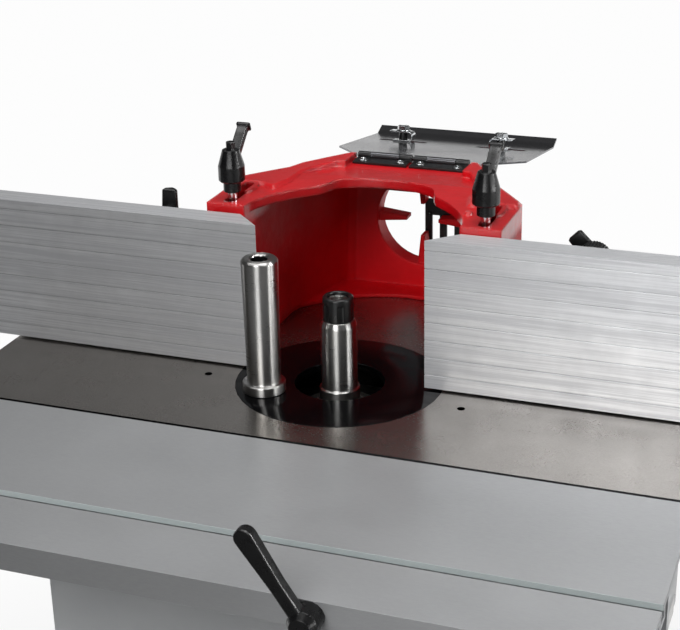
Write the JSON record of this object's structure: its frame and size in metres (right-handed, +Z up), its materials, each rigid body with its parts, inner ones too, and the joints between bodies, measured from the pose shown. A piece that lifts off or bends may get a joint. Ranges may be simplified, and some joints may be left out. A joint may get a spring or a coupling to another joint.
{
  "type": "router table",
  "caption": "Floor-standing router and spindle moulder table with red cast hood, split aluminium fences, sliding table, height-set belt-driven spindle and steel cabinet.",
  "frame": {"origin": "on the floor, under the spindle axis", "axes": "+X to the right along the fences, +Y to the back of the machine, +Z up along the spindle"},
  "size_m": [0.851, 0.8648, 1.084],
  "materials": {
    "red_paint": "gloss enamel",
    "ground_iron": "ground",
    "cast_iron": "as cast",
    "aluminium": "satin anodised",
    "polished_steel": "ground and polished",
    "zinc_steel": "zinc plated",
    "black_gloss": "black gloss",
    "black_plastic": "satin",
    "black_steel": "black satin",
    "blued_plate": "dark lacquered",
    "bronze": "machined",
    "rubber": "matt",
    "grey_paint": "satin",
    "dark_paint": "satin",
    "green_plastic": "satin",
    "red_plastic": "satin"
  },
  "bodies": {
    "machine": {"main_table": "ground_iron", "table_ring": "black_gloss", "hood": "red_paint", "port_guard": "black_steel", "hinge_leaf_left": "black_steel", "hinge_leaf_right": "black_steel", "hinge_pin": "zinc_steel", "guide_flange": "cast_iron", "guide_column_left": "polished_steel", "guide_column_right": "polished_steel", "guide_foot": "cast_iron", "shaft_bush": "bronze", "slide_rail": "polished_steel", "rail_bracket_left": "cast_iron", "rail_bracket_right": "cast_iron", "cabinet": "grey_paint", "base_plinth": "dark_paint", "switch_box": "black_plastic"},
    "sliding_table": {"sliding_table": "aluminium"},
    "table_lock": {"table_lock_lever": "black_plastic"},
    "left_carrier": {"left_fence_carrier": "cast_iron", "left_clamp_stud": "zinc_steel"},
    "right_carrier": {"right_fence_carrier": "cast_iron", "right_clamp_stud": "zinc_steel"},
    "left_fence": {"left_fence": "aluminium"},
    "right_fence": {"right_fence": "aluminium"},
    "left_clamp": {"left_clamp_lever": "black_plastic"},
    "right_clamp": {"right_clamp_lever": "black_plastic"},
    "left_fence_lock": {"left_fence_lever": "black_plastic"},
    "right_fence_lock": {"right_fence_lever": "black_plastic"},
    "guard_cover": {"guard_cover": "blued_plate"},
    "cover_clamp_left": {"cover_clamp_left": "zinc_steel"},
    "cover_clamp_right": {"cover_clamp_right": "zinc_steel"},
    "lift": {"carriage": "cast_iron", "quill": "ground_iron", "upper_bearing": "polished_steel", "lower_bearing": "polished_steel", "lead_nut": "bronze", "motor_bracket": "cast_iron", "motor_housing": "dark_paint", "motor_fan_cover": "dark_paint", "drive_belt": "rubber"},
    "spindle": {"spindle_shaft": "polished_steel", "spindle_pulley": "aluminium", "router_spindle": "polished_steel", "collet": "polished_steel"},
    "collet_nut": {"collet_nut": "black_steel"},
    "motor_rotor": {"motor_shaft": "polished_steel", "motor_pulley": "aluminium"},
    "lead_screw": {"lead_screw": "polished_steel", "lead_screw_gear": "polished_steel"},
    "handwheel": {"handwheel_shaft": "polished_steel", "handwheel_gear": "polished_steel", "handwheel": "black_plastic"},
    "handwheel_grip": {"handwheel_grip": "black_plastic"},
    "spare_spindle": {"spare_spindle": "polished_steel"},
    "door": {"cabinet_door": "grey_paint"},
    "latch": {"door_latch": "black_plastic"},
    "start_button": {"start_button": "green_plastic"},
    "stop_button": {"stop_button": "red_plastic"}
  },
  "joints": [
    {"name": "sliding_table_travel", "type": "slide", "parent": "machine", "child": "sliding_table", "axis": [1, 0, 0], "range_m": [-0.3, 0.3]},
    {"name": "table_lock_turn", "type": "hinge", "parent": "sliding_table", "child": "table_lock", "pos_m": [0.1147, -0.3803, 0.837], "axis": [0, 1, 0], "range_deg": [-45, 110]},
    {"name": "left_carrier_depth", "type": "slide", "parent": "machine", "child": "left_carrier", "axis": [0, 1, 0], "range_m": [-0.006, 0.006]},
    {"name": "right_carrier_depth", "type": "slide", "parent": "machine", "child": "right_carrier", "axis": [0, 1, 0], "range_m": [-0.006, 0.001]},
    {"name": "left_fence_slide", "type": "slide", "parent": "left_carrier", "child": "left_fence", "axis": [1, 0, 0], "range_m": [-0.05, 0.03]},
    {"name": "right_fence_slide", "type": "slide", "parent": "right_carrier", "child": "right_fence", "axis": [1, 0, 0], "range_m": [-0.03, 0.05]},
    {"name": "left_clamp_turn", "type": "hinge", "parent": "left_carrier", "child": "left_clamp", "pos_m": [-0.1325, 0.0554, 1.019], "axis": [0, 0, 1], "range_deg": [-60, 60]},
    {"name": "right_clamp_turn", "type": "hinge", "parent": "right_carrier", "child": "right_clamp", "pos_m": [0.1325, 0.0554, 1.019], "axis": [0, 0, 1], "range_deg": [-60, 60]},
    {"name": "left_fence_lock_turn", "type": "hinge", "parent": "left_carrier", "child": "left_fence_lock", "pos_m": [-0.204, 0.0392, 0.985], "axis": [0, 1, 0], "range_deg": [-60, 60]},
    {"name": "right_fence_lock_turn", "type": "hinge", "parent": "right_carrier", "child": "right_fence_lock", "pos_m": [0.238, 0.045, 0.985], "axis": [0, 1, 0], "range_deg": [-60, 60]},
    {"name": "guard_cover_hinge", "type": "hinge", "parent": "machine", "child": "guard_cover", "pos_m": [0, 0.2435, 1.0101], "axis": [1, 0, 0], "range_deg": [0, 187]},
    {"name": "cover_clamp_left_slide", "type": "slide", "parent": "guard_cover", "child": "cover_clamp_left", "axis": [1, 0, 0], "range_m": [-0.02, 0.024]},
    {"name": "cover_clamp_right_slide", "type": "slide", "parent": "guard_cover", "child": "cover_clamp_right", "axis": [-1, 0, 0], "range_m": [-0.02, 0.024]},
    {"name": "spindle_lift", "type": "slide", "parent": "machine", "child": "lift", "axis": [0, 0, 1], "range_m": [-0.06, 0.05]},
    {"name": "motor_spin", "type": "hinge", "parent": "lift", "child": "motor_rotor", "pos_m": [-0.185, 0.04, 0.553], "axis": [0, 0, 1], "continuous": true},
    {"name": "spindle_spin", "type": "hinge", "parent": "lift", "child": "spindle", "pos_m": [0, 0, 0.75], "axis": [0, 0, 1], "continuous": true},
    {"name": "collet_nut_turn", "type": "hinge", "parent": "spindle", "child": "collet_nut", "pos_m": [0, 0, 0.93], "axis": [0, 0, 1], "range_deg": [0, 720]},
    {"name": "lead_screw_turn", "type": "hinge", "parent": "machine", "child": "lead_screw", "pos_m": [0, 0.098, 0.65], "axis": [0, 0, 1], "range_deg": [-5410, 4510]},
    {"name": "handwheel_turn", "type": "hinge", "parent": "machine", "child": "handwheel", "pos_m": [0, -0.1, 0.42], "axis": [0, 1, 0], "range_deg": [-5410, 4510]},
    {"name": "handwheel_grip_turn", "type": "hinge", "parent": "handwheel", "child": "handwheel_grip", "pos_m": [0.068, -0.2, 0.42], "axis": [0, 1, 0], "continuous": true},
    {"name": "spare_spindle_lift", "type": "slide", "parent": "machine", "child": "spare_spindle", "axis": [0, 0, 1], "range_m": [0, 0.15]},
    {"name": "door_swing", "type": "hinge", "parent": "machine", "child": "door", "pos_m": [0.2843, 0.215, 0.44], "axis": [0, 0, 1], "range_deg": [0, 110]},
    {"name": "latch_turn", "type": "hinge", "parent": "door", "child": "latch", "pos_m": [0.2843, -0.045, 0.44], "axis": [1, 0, 0], "range_deg": [0, 90]},
    {"name": "start_press", "type": "slide", "parent": "machine", "child": "start_button", "axis": [0, 1, 0], "range_m": [0, 0.003], "stiffness_N_per_m": 800},
    {"name": "stop_press", "type": "slide", "parent": "machine", "child": "stop_button", "axis": [0, 1, 0], "range_m": [0, 0.003], "stiffness_N_per_m": 800}
  ],
  "couplings": [
    {"joint": "spindle_spin", "follows": "motor_spin", "ratio": 2},
    {"joint": "lead_screw_turn", "follows": "spindle_lift", "rad_per_m": 1570.8},
    {"joint": "handwheel_turn", "follows": "spindle_lift", "rad_per_m": 1570.8}
  ]
}
